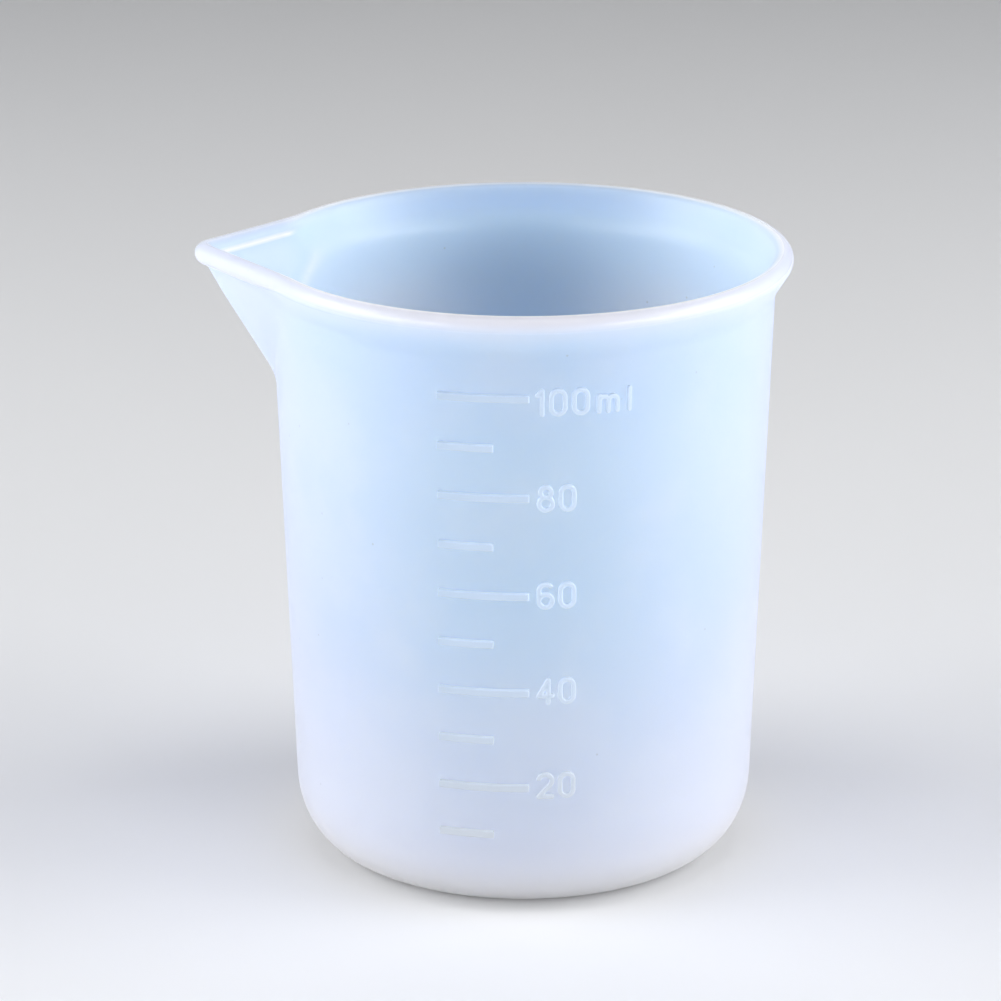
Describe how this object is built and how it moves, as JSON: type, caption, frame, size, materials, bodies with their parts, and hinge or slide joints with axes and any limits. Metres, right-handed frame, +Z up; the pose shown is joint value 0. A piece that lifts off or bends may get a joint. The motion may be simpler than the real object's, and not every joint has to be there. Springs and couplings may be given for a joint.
{
  "type": "resin mixing cup",
  "caption": "Soft translucent measuring beaker for mixing resin, with a flared lip, a V-shaped pouring spout, a rounded bottom edge and a raised volume scale.",
  "frame": {"origin": "centre of the flat underside, on the cup's axis", "axes": "+Z up along the cup's axis, the spout points along -X, the scale faces -Y"},
  "size_m": [0.0643, 0.058, 0.0676],
  "materials": {
    "silicone_body": "satin, milky translucent",
    "silicone_lip": "satin, milky translucent",
    "silicone_scale": "satin, milky translucent"
  },
  "bodies": {
    "root": {"floor": "silicone_body", "heel": "silicone_body", "wall": "silicone_body", "rim": "silicone_lip", "spout": "silicone_lip", "mark_10": "silicone_scale", "mark_20": "silicone_scale", "mark_30": "silicone_scale", "mark_40": "silicone_scale", "mark_50": "silicone_scale", "mark_60": "silicone_scale", "mark_70": "silicone_scale", "mark_80": "silicone_scale", "mark_90": "silicone_scale", "mark_100": "silicone_scale", "numeral_20": "silicone_scale", "numeral_40": "silicone_scale", "numeral_60": "silicone_scale", "numeral_80": "silicone_scale", "numeral_100ml": "silicone_scale"}
  },
  "joints": []
}
